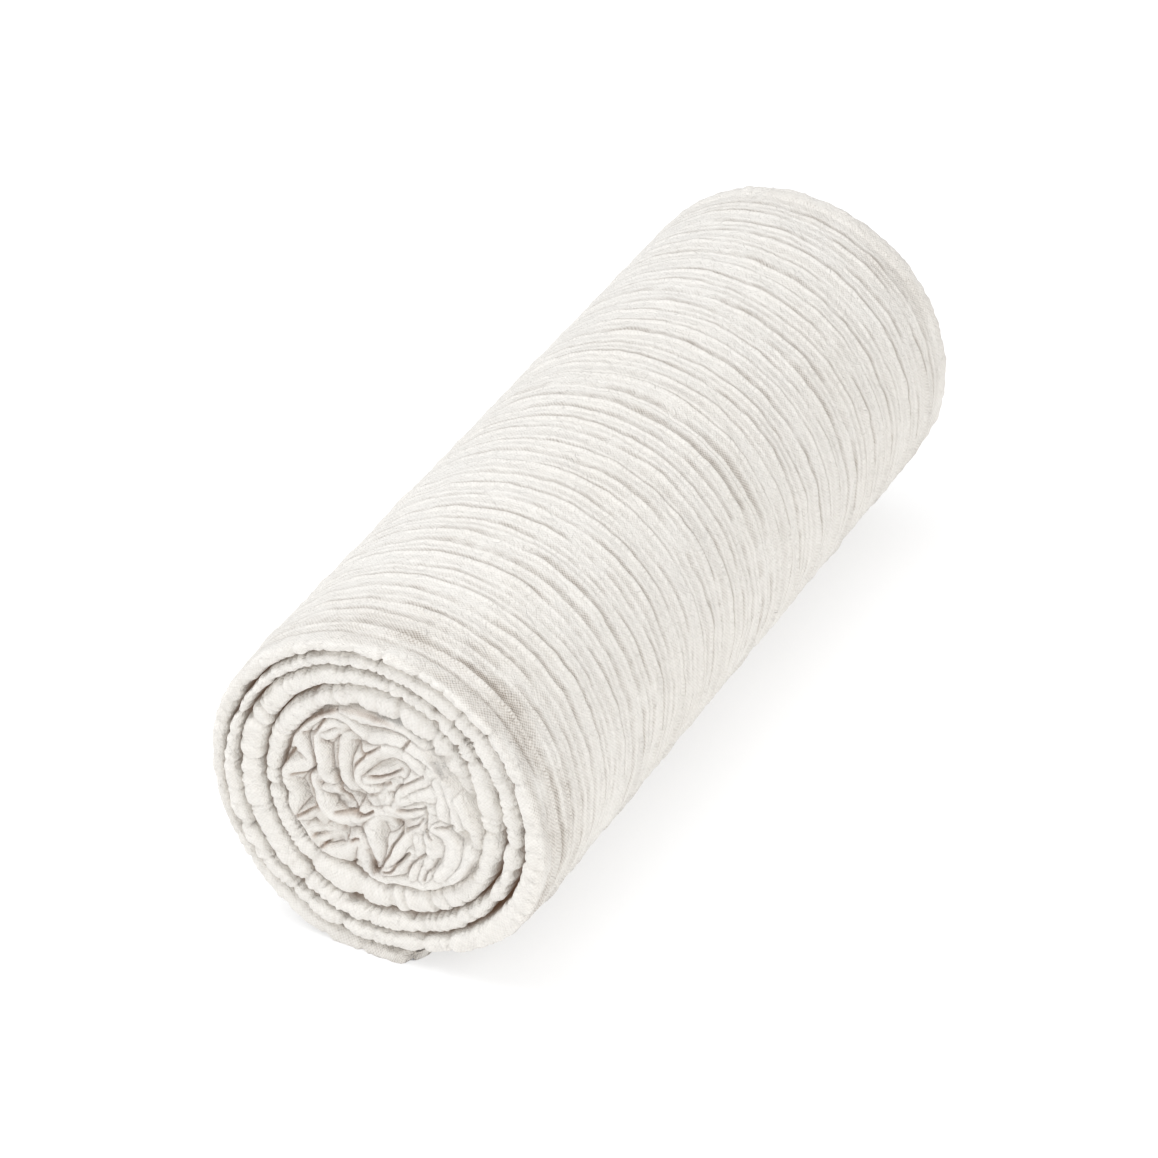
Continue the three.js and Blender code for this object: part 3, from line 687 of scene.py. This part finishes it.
CORE_CREVICES = {
    "tongue side": (
        (-0.195, 0.42, 5), (-0.215, 0.37, 7), (-0.225, 0.3, 8), (-0.225, 0.2, 8.5), (-0.215, 0.12, 9),
        (-0.185, 0.06, 10.5), (-0.14, 0.02, 11), (-0.1, -0.02, 11.5), (-0.06, -0.045, 11),
        (-0.015, -0.03, 7),
    ),
    "top pocket": (
        (-0.17, 0.39, 5), (-0.12, 0.37, 7.5), (-0.075, 0.355, 9), (-0.045, 0.335, 9), (-0.075, 0.29, 8),
        (-0.11, 0.24, 7.5), (-0.135, 0.18, 7.5), (-0.13, 0.12, 7.5),
    ),
    "top pocket edge": ((-0.045, 0.335, 8), (-0.01, 0.36, 6), (0.03, 0.395, 4.5)),
    "arch foot": ((-0.145, 0.07, 8), (-0.1, 0.06, 8.5), (-0.05, 0.055, 8), (0, 0.065, 6)),
    "arch inside": (
        (-0.06, 0.17, 5), (0, 0.205, 7.5), (0.06, 0.235, 8.5), (0.11, 0.265, 9), (0.16, 0.3, 7),
    ),
    "arch small": ((-0.01, 0.13, 4.5), (0.05, 0.16, 6.5), (0.1, 0.2, 8.5)),
    "arch end": (
        (0.11, 0.14, 5), (0.14, 0.185, 7.5), (0.175, 0.215, 9), (0.21, 0.245, 8), (0.25, 0.275, 6),
        (0.29, 0.3, 4.5),
    ),
    "middle crease": ((0.13, 0.03, 4.5), (0.19, 0.065, 7), (0.24, 0.09, 8), (0.3, 0.11, 6)),
    "low middle crease": ((0.18, -0.085, 6), (0.22, -0.05, 6.5), (0.26, -0.015, 6), (0.285, 0.03, 4.5)),
    "knot top": ((0.06, -0.035, 5), (0.11, -0.05, 6.5), (0.155, -0.055, 8.5), (0.175, -0.085, 9)),
    "knot side": (
        (0.175, -0.085, 9), (0.145, -0.14, 8.5), (0.11, -0.2, 8.5), (0.09, -0.26, 8.5),
        (0.055, -0.32, 8.5), (0.03, -0.375, 9), (-0.01, -0.405, 9), (-0.04, -0.36, 6),
        (-0.06, -0.31, 4.5),
    ),
    "lower fold foot": (
        (-0.01, -0.405, 8), (0.04, -0.395, 7), (0.1, -0.365, 7.5), (0.13, -0.31, 8), (0.17, -0.255, 8),
        (0.21, -0.205, 8),
    ),
    "cross fold foot": (
        (-0.1, -0.225, 6), (-0.14, -0.24, 9), (-0.2, -0.24, 9), (-0.26, -0.23, 7), (-0.32, -0.2, 6.5),
        (-0.35, -0.14, 8), (-0.355, -0.08, 8.5), (-0.375, -0.02, 8.5), (-0.395, 0.05, 8.5),
        (-0.385, 0.1, 8), (-0.36, 0.13, 7), (-0.35, 0.2, 6.5), (-0.36, 0.28, 6.5), (-0.375, 0.335, 5),
    ),
    "tongue fold foot": ((-0.32, 0.315, 4.5), (-0.27, 0.325, 6), (-0.225, 0.36, 7)),
    "tongue foot": (
        (-0.34, 0.07, 6), (-0.31, 0.03, 6), (-0.27, 0.05, 5.5), (-0.22, 0.045, 6), (-0.18, 0.03, 8),
    ),
    "cross pocket": ((-0.24, -0.12, 4.5), (-0.17, -0.09, 6.5), (-0.11, -0.06, 8.5), (-0.06, -0.045, 9)),
    "outer left": ((-0.3, 0.49, 4), (-0.38, 0.47, 6), (-0.43, 0.42, 7.5), (-0.48, 0.37, 7)),
    "upper pleat": ((-0.29, 0.47, 4.5), (-0.33, 0.4, 6), (-0.365, 0.35, 6), (-0.42, 0.33, 4.5)),
    "outer left low": ((-0.48, 0.21, 6), (-0.52, 0.14, 7.5), (-0.56, 0.07, 6)),
    "left pleat top": ((-0.49, 0.05, 4.5), (-0.45, 0.07, 6.5), (-0.405, 0.09, 8.5)),
    "left pleat foot": ((-0.47, -0.22, 4.5), (-0.42, -0.175, 7), (-0.36, -0.125, 8.5)),
    "low pleat": ((-0.33, -0.37, 4.5), (-0.29, -0.33, 6.5), (-0.23, -0.285, 7), (-0.17, -0.25, 8.5)),
    "second low pleat": (
        (-0.37, -0.31, 4.5), (-0.31, -0.285, 6.5), (-0.25, -0.265, 7), (-0.2, -0.245, 8.5),
    ),
    "bottom left": ((-0.28, -0.455, 4.5), (-0.22, -0.45, 6.5), (-0.17, -0.44, 8), (-0.145, -0.42, 7)),
    "bottom": ((0.07, -0.51, 4.5), (0.12, -0.49, 6.5), (0.17, -0.47, 6.5), (0.22, -0.46, 4.5)),
    "fan crease": ((0.19, -0.37, 5), (0.21, -0.3, 7.5), (0.25, -0.24, 7), (0.3, -0.2, 4.5)),
    "second fan crease": ((0.29, -0.36, 5), (0.31, -0.3, 6.5), (0.345, -0.26, 7), (0.37, -0.2, 5)),
    "right crease": ((0.36, 0, 4.5), (0.42, 0.02, 5.5), (0.47, 0.055, 4.5)),
    "puff crease": ((0.3, 0.11, 4.5), (0.315, 0.04, 6.5), (0.31, -0.03, 6.5), (0.33, -0.08, 5)),
    "rim crease": ((0.19, 0.46, 3.5), (0.21, 0.5, 4.5), (0.17, 0.44, 4.5)),
}
# The camera looks down on the near end, from in front and a little to the right, so that a deep
# place seems to lie further up and to the right than it does.
AZIMUTH = 0.47314
ELEVATION = 0.61114
SEEN_BACK = 3.0
SIGHT_SLOPE = (math.tan(AZIMUTH), math.tan(ELEVATION) / math.cos(AZIMUTH))
# The folds on the right are plump and stand this far forward, in mm, from a share of the radius on
# and fully so after a further share. None comes nearer than a least depth. Deep crevices are made
# less deep than they seem, from a depth on and by a share, because a notch is added at their foot.
PLUMP_LIFT = 1.3
PLUMP_FROM = -0.1
PLUMP_RANGE = 0.3
FOLD_LEAST_BACK = 0.8
CREVICE_FROM = 3.2
CREVICE_SHARE = 0.55
# The core begins after this many turns of the strip. Over a last part of its edge it crosses the
# strip's inner end.
CORE_START = 3.77
EDGE_BLEND = 0.11
# The lines are walked in steps, and the folds rise and fall along them over such a length.
LINE_STEP = 0.8 * MM
FOLD_UNEVENNESS = 1.2 * MM
FOLD_UNEVEN_LENGTH = 9 * MM
# How many points of the lines count at a place, and how sharply the nearest outweigh the rest.
CREST_COUNT = 16
CREVICE_COUNT = 5
BLEND_LEAST = 0.3 * MM
BLEND_POWER = 3
LINE_APART = 7 * MM
# A crest is round over a scalloped width, and beside it the cloth falls towards the crevice.
CREST_ROUND = 1.1 * MM
SCALLOP_SHARE = 0.8
SCALLOP_SIZE = 1.3 * MM
LEAST_GAP = 0.1 * MM
# Each fold is a round puff about its crest, as wide as the room it has up to a reach: how high it is
# for its width, how nearly its sides stand upright, and how much wider its gentle side is.
PUFF_REACH = 3.3 * MM
PUFF_ROUND = 0.9
PUFF_FULLNESS = 0.93
PUFF_LEAN = 0.3
PUFF_SLOPE = 0.3
PUFF_SWING = 0.3
PUFF_SWING_LENGTH = 3.5 * MM
# The folds lean to one side, so that the cloth falls gently on that side and sharply on the other.
LEAN = Vector((0.55, 0.84))
FALL_POWER = 2.7
FALL_LEAN = 1.1
# How far from a crevice the cloth is painted with shade, where it falls sharply and where it falls
# gently, and the power by which such a line fades.
DARK_WIDTHS = (0.3 * MM, 0.55 * MM)
LINE_POWER = 1.3
# The folds on one side are plump and soft: the share of the radius by which that is full, how much
# shallower the lines between them are there, and how much less painted crevice shade and less
# painted shade with open weave they get there.
SOFT_FULL = 0.3
SOFT_SHARE = 0.25
SOFT_LIGHT = 0.75
SOFT_LESS_SHADED = 0.8
# Where two puffs meet: how wide and deep the line between them is, how high a puff has to be for
# that, and how much painted shade it gets.
VALLEY_WIDTH = 0.5 * MM
VALLEY_DEPTH = 0.5 * MM
VALLEY_FULL = 1.6 * MM
VALLEY_DARK = 0.4
# A crevice narrows to a notch where the cloth falls far enough.
NOTCH_DEPTH = 2.6 * MM
NOTCH_WIDTH = 0.42 * MM
NOTCH_FROM = 0.5 * MM
NOTCH_FULL = 2.2 * MM
# Round its edge the core falls to the turn that holds it, least where it is packed tightest.
RING_DEPTH = 4.6 * MM
RING_SWING = 2.8 * MM
RING_TIGHTEST = math.radians(35)
RING_SLOPE = 2.0
RING_POINTS = 300
# The grid reaches this far from the axis, and is cut off at a hem outside the core's edge.
CORE_GRID_HALF = 0.68 * ROLL_RADIUS
CORE_HEM = 5 * MM
CORE_THICKNESS = 0.8 * MM
# Where the cloth falls it is painted with shade and its weave shows more open, fully so from this
# drop on, up to a share.
OPEN_SHADE_DROP = 2.6 * MM
CORE_SHADE_AND_OPENNESS = 0.5
# Pinches across the folds, which drift along them and are shifted from line to line.
PINCH_DEPTH = 0.8 * MM
PINCH_SPACING = 4.5 * MM
PINCH_WIDTH = 0.17
PINCH_POWER = 1.5
PINCH_DRIFT = 1.2
PINCH_DRIFT_LENGTH = 12 * MM
PINCH_SHIFT = 0.37
# The cloth's unevenness: the size of its patches, its height in mm and its place in the noise.
CORE_UNEVENNESS = (
    {"size": 6 * MM, "height": 0.4, "seed": 3},
    {"size": 2.2 * MM, "height": 0.25, "seed": 6},
)


def core_edge(angle):
    """The crease that the core fills, at an angle round the roll."""
    round_it = ((LOOSE_EDGE_ANGLE - angle) / math.tau - CORE_START) % 1
    edge = smooth_value(SPIRAL, (CORE_START + round_it) * PLACES_A_TURN)
    # Its last part crosses over the strip's inner end, out to where the crease began.
    over = max(1 - (1 - round_it) / EDGE_BLEND, 0.0)
    over *= over * (3 - 2 * over)
    return ROLL_RADIUS * (edge + (smooth_value(SPIRAL, CORE_START * PLACES_A_TURN) - edge) * over)


def ring_depth(angle):
    """How far in the core's edge lies, at an angle round the roll."""
    return RING_DEPTH - RING_SWING * math.cos(angle - RING_TIGHTEST)


def fold_back(seen_x, seen_back):
    """How far back a fold's crest is set, from how far back it seems to lie."""
    plump = min(max((seen_x - PLUMP_FROM) / PLUMP_RANGE, 0.0), 1.0)
    return max(seen_back - PLUMP_LIFT * plump, FOLD_LEAST_BACK)


def crevice_back(seen_x, seen_back):
    return min(seen_back, CREVICE_FROM + (seen_back - CREVICE_FROM) * CREVICE_SHARE)


def true_place(seen_x, seen_z, back, turn):
    """Moves a place along the line of sight to its depth, and turns it round the roll's axis."""
    x, z = (seen * ROLL_RADIUS - slope * (back - SEEN_BACK) * MM
            for seen, slope in zip((seen_x, seen_z), SIGHT_SLOPE))
    return {"x": x * math.cos(turn) - z * math.sin(turn), "z": x * math.sin(turn) + z * math.cos(turn),
            "back": back * MM, "soft": min(max(x / ROLL_RADIUS / SOFT_FULL, 0.0), 1.0)}


def line_tree(table, settle, turn, unevenness, extra=()):
    """Points along a table's lines, turned round the roll's axis, and a tree to find them by."""
    points = list(extra)
    for number, rows in enumerate(table.values()):
        places = [true_place(x, z, settle(x, back), turn) for x, z, back in rows]
        for point in walk_path(places, LINE_STEP, ("loose", "loose")):
            point["back"] += noise.noise((point["along"] / FOLD_UNEVEN_LENGTH, number, 6.0)) * unevenness
            points.append(point | {"line": number})
    tree = kdtree.KDTree(len(points))
    for number, point in enumerate(points):
        tree.insert((point["x"], point["z"], 0), number)
    tree.balance()
    return points, tree


def near_line(x, z, line_points, count):
    """The nearest point of some lines, how far off it and the next line are, and their mean depth."""
    points, tree = line_points
    found = [(points[number], away) for spot, number, away in tree.find_n((x, z, 0), count)]
    weights = [1 / (away + BLEND_LEAST) ** BLEND_POWER for point, away in found]
    back = sum(point["back"] * w for (point, away), w in zip(found, weights)) / sum(weights)
    nearest = found[0][0]
    others = [away for point, away in found if point["line"] != nearest["line"]
              or abs(point["along"] - nearest["along"]) > LINE_APART]
    return nearest, found[0][1], others[0] if others else math.inf, back


def pinch_depth(x, z, crest, seed):
    """How far the cloth is pinched in across a fold."""
    drift = noise.noise((x / PINCH_DRIFT_LENGTH, z / PINCH_DRIFT_LENGTH, seed)) * PINCH_DRIFT
    turn = crest["along"] / PINCH_SPACING + drift
    turn += crest["line"] * PINCH_SHIFT
    pinch = math.exp(-abs((turn - round(turn)) / PINCH_WIDTH) ** PINCH_POWER)
    return pinch * noise.cell(Vector((round(turn) + 0.5, crest["line"] + 0.5, seed))) * PINCH_DEPTH


def core_unevenness(x, z, seed):
    """How far the cloth's own unevenness sets a place back."""
    return sum(noise.noise((x / kind["size"], z / kind["size"], seed + kind["seed"])) * kind["height"] * MM
               for kind in CORE_UNEVENNESS)


def core_place(x, z, crests, crevices, seed):
    """A place of the core: its depth, its place on the flat cloth, its painted shade with weave holes, and
    its painted crevice shade.
    """
    crest, away, next_away, level = near_line(x, z, crests, CREST_COUNT)
    crevice, gap, _, bottom = near_line(x, z, crevices, CREVICE_COUNT)
    scallop = SCALLOP_SHARE * noise.noise((crest["along"] / SCALLOP_SIZE, crest["line"], seed))
    ledge = max(away - CREST_ROUND * (1 + scallop), 0.0)
    fall = max(bottom - level, 0.0)
    toward = Vector((crevice["x"] - crest["x"], crevice["z"] - crest["z"])).normalized()
    lean = toward.dot(LEAN)
    power = FALL_POWER - FALL_LEAN * lean
    steep = min(max((fall - NOTCH_FROM) / (NOTCH_FULL - NOTCH_FROM), 0.0), 1.0)
    notch = steep * math.exp(-((gap / NOTCH_WIDTH) ** 2))
    dark_width = DARK_WIDTHS[0] + (DARK_WIDTHS[1] - DARK_WIDTHS[0]) * (lean + 1) / 2
    # Painted shade along the crevice's foot.
    crevice_shade = steep * math.exp(-((gap / dark_width) ** LINE_POWER))
    out = Vector((x - crest["x"], z - crest["z"])) / max(away, 1e-6)
    widest = PUFF_REACH * (1 + PUFF_LEAN * out.dot(LEAN))
    swing = noise.noise((crest["along"] / PUFF_SWING_LENGTH, crest["line"] + 0.5, seed + 2))
    widest *= 1 + PUFF_SWING * swing
    reach = min((away + next_away) / 2, widest)
    roundness = 1 - math.sqrt(1 - PUFF_FULLNESS * min(away / reach, 1.0) ** 2)
    puff = PUFF_ROUND * reach * roundness + PUFF_SLOPE * max(away - reach, 0.0)
    valley = math.exp(-(((next_away - away) / VALLEY_WIDTH) ** LINE_POWER))
    valley *= min(puff / VALLEY_FULL, 1.0)
    drop = max(fall * (ledge / (ledge + gap + LEAST_GAP)) ** power, puff) + NOTCH_DEPTH * notch
    drop = (drop + VALLEY_DEPTH * valley) * (1 - SOFT_SHARE * crest["soft"])
    crevice_shade = max(crevice_shade, VALLEY_DARK * valley) * (1 - SOFT_LIGHT * crest["soft"])
    past = math.hypot(x, z) - core_edge(math.atan2(z, x))
    if past > 0:
        drop = max(drop, ring_depth(math.atan2(z, x)) - level + past * RING_SLOPE)
    # Painted shade where the cloth falls, with a more open weave, most on the gentle side.
    opened = CORE_SHADE_AND_OPENNESS * min(drop / OPEN_SHADE_DROP, 1.0) * (1 + lean) / 2
    opened *= 1 - SOFT_LESS_SHADED * crest["soft"]
    depth = level + drop + pinch_depth(x, z, crest, seed) + core_unevenness(x, z, seed)
    return {"depth": depth, "flat": (x + out.x * drop, z + out.y * drop), "open": opened, "crevice_shade": crevice_shade}


def crumpled_core(name, end, turn, spacing, seed):
    """The core at one end, with its lines turned round the axis, as a grid of a spacing."""
    ring = [{"x": core_edge(angle) * math.cos(angle), "z": core_edge(angle) * math.sin(angle),
             "back": ring_depth(angle), "along": 0.0, "line": -1}
            for angle in (math.tau * k / RING_POINTS for k in range(RING_POINTS))]
    crests = line_tree(CORE_FOLDS, fold_back, turn, FOLD_UNEVENNESS)
    crevices = line_tree(CORE_CREVICES, crevice_back, turn, 0.0, ring)
    bm = bmesh.new()
    uv = bm.loops.layers.uv.new("cloth")
    open_weave = bm.verts.layers.float.new("open_weave")
    painted_crevice_shade = bm.verts.layers.float.new("painted_crevice_shade")
    count = round(2 * CORE_GRID_HALF / spacing)
    bmesh.ops.create_grid(bm, x_segments=count, y_segments=count, size=CORE_GRID_HALF)
    outside = [vert for vert in bm.verts
               if vert.co.length > core_edge(math.atan2(vert.co.y, vert.co.x)) + CORE_HEM]
    bmesh.ops.delete(bm, geom=outside, context="VERTS")
    spots = {vert: core_place(vert.co.x, vert.co.y, crests, crevices, seed) for vert in bm.verts}
    for face in bm.faces:
        for loop in face.loops:
            loop[uv].uv = spots[loop.vert]["flat"]
    for vert, spot in spots.items():
        vert[open_weave] = spot["open"]
        vert[painted_crevice_shade] = spot["crevice_shade"]
        vert.co = (vert.co.x, end * (ROLL_LENGTH / 2 - spot["depth"]), vert.co.y + AXIS_HEIGHT)
    bmesh.ops.smooth_vert(bm, verts=bm.verts, factor=0.5,
                          use_axis_x=True, use_axis_y=True, use_axis_z=True)
    if end > 0:
        bmesh.ops.reverse_faces(bm, faces=bm.faces)
    cloth_area = sum(face.calc_area() for face in bm.faces)
    mesh = bpy.data.meshes.new(name)
    bm.to_mesh(mesh)
    bm.free()
    mesh.shade_smooth()
    piece = bpy.data.objects.new(name, mesh)
    bpy.context.scene.collection.objects.link(piece)
    thickness = piece.modifiers.new("thickness", "SOLIDIFY")
    thickness.thickness = CORE_THICKNESS
    thickness.offset = -1
    dress_cloth(piece)
    return piece


near_core = crumpled_core("near_core", end=-1, turn=0.0, spacing=0.32 * MM, seed=0.5)
far_core = crumpled_core("far_core", end=1, turn=math.radians(205), spacing=0.6 * MM, seed=8.5)


# The floor, the camera and the light: a plain pale floor in soft studio light. The paper's glow
# stands for a studio's wide light, so the roll shades it where it stands close.
FLOOR_HALF = 3.0
SHADE_REACH = 35 * MM
GLOW_LEAST = 0.49
GLOW_SKY = 0.27
floor_bm = bmesh.new()
bmesh.ops.create_grid(floor_bm, x_segments=1, y_segments=1, size=FLOOR_HALF)
floor_mesh = bpy.data.meshes.new("floor")
floor_bm.to_mesh(floor_mesh)
floor_bm.free()
floor = bpy.data.objects.new("floor", floor_mesh)
bpy.context.scene.collection.objects.link(floor)
floor_paint = bpy.data.materials.new("pale_paper")
floor_paint.use_nodes = True
floor_shader = floor_paint.node_tree.nodes["Principled BSDF"]
floor_shader.inputs["Base Color"].default_value = linear("A4A4A4")
floor_shader.inputs["Roughness"].default_value = 1.0
floor_shader.inputs["Emission Color"].default_value = (1, 1, 1, 1)
open_sky = add_node(floor_paint, "ShaderNodeAmbientOcclusion", {"samples": 6, "Distance": SHADE_REACH})
glow = add_node(floor_paint, "ShaderNodeMath", {"operation": "MULTIPLY_ADD", 1: GLOW_SKY, 2: GLOW_LEAST},
                {0: open_sky.outputs["AO"]})
floor_paint.node_tree.links.new(glow.outputs[0], floor_shader.inputs["Emission Strength"])
floor_mesh.materials.append(floor_paint)

# The camera, at the angles that the core's folds are seen from.
DISTANCE = 27.611 * ROLL_RADIUS
CENTRE_RIGHT = 0.10476 * ROLL_RADIUS
CENTRE_UP = 0.11312 * ROLL_RADIUS
FRAME_PIXELS = 1158
FOCAL_PIXELS = 5000
SENSOR = 36.0

right = Vector((math.cos(AZIMUTH), math.sin(AZIMUTH), 0))
level = Vector((-math.sin(AZIMUTH), math.cos(AZIMUTH), 0))
ahead = level * math.cos(ELEVATION) - Vector((0, 0, math.sin(ELEVATION)))
up = level * math.sin(ELEVATION) + Vector((0, 0, math.cos(ELEVATION)))
camera_data = bpy.data.cameras.new("camera")
camera_data.sensor_width = SENSOR
camera_data.sensor_height = SENSOR
camera_data.sensor_fit = "HORIZONTAL"
camera_data.lens = SENSOR * FOCAL_PIXELS / FRAME_PIXELS
camera = bpy.data.objects.new("camera", camera_data)
bpy.context.scene.collection.objects.link(camera)
roll_middle = Vector((0, 0, AXIS_HEIGHT))
camera.location = roll_middle - ahead * DISTANCE - right * CENTRE_RIGHT - up * CENTRE_UP
camera.rotation_euler = ahead.to_track_quat("-Z", "Y").to_euler()
bpy.context.scene.camera = camera


def soft_light(name, place, size, power, colour=(1, 1, 1)):
    data = bpy.data.lights.new(name, "AREA")
    data.size = size
    data.energy = power
    data.color = colour
    lamp = bpy.data.objects.new(name, data)
    lamp.location = place
    lamp.rotation_euler = (roll_middle - place).to_track_quat("-Z", "Y").to_euler()
    bpy.context.scene.collection.objects.link(lamp)


soft_light("key_light", roll_middle + Vector((-0.95, -0.4, 1.55)), size=1.0, power=20.4,
           colour=(0.94, 0.965, 1.0))
soft_light("fill_light", roll_middle + Vector((1.5, -0.2, 1.15)), size=1.2, power=15)
soft_light("front_light", roll_middle + Vector((0.15, -1.75, 0.75)), size=1.4, power=10)
soft_light("side_light", roll_middle + Vector((-1.75, 0.3, 0.6)), size=1.2, power=4)
SKY_GLOW = 0.38
world = bpy.data.worlds.new("studio")
world.use_nodes = True
world.node_tree.nodes["Background"].inputs["Color"].default_value = (1, 1, 1, 1)
world.node_tree.nodes["Background"].inputs["Strength"].default_value = SKY_GLOW
bpy.context.scene.world = world
bpy.context.scene.view_settings.view_transform = "Standard"
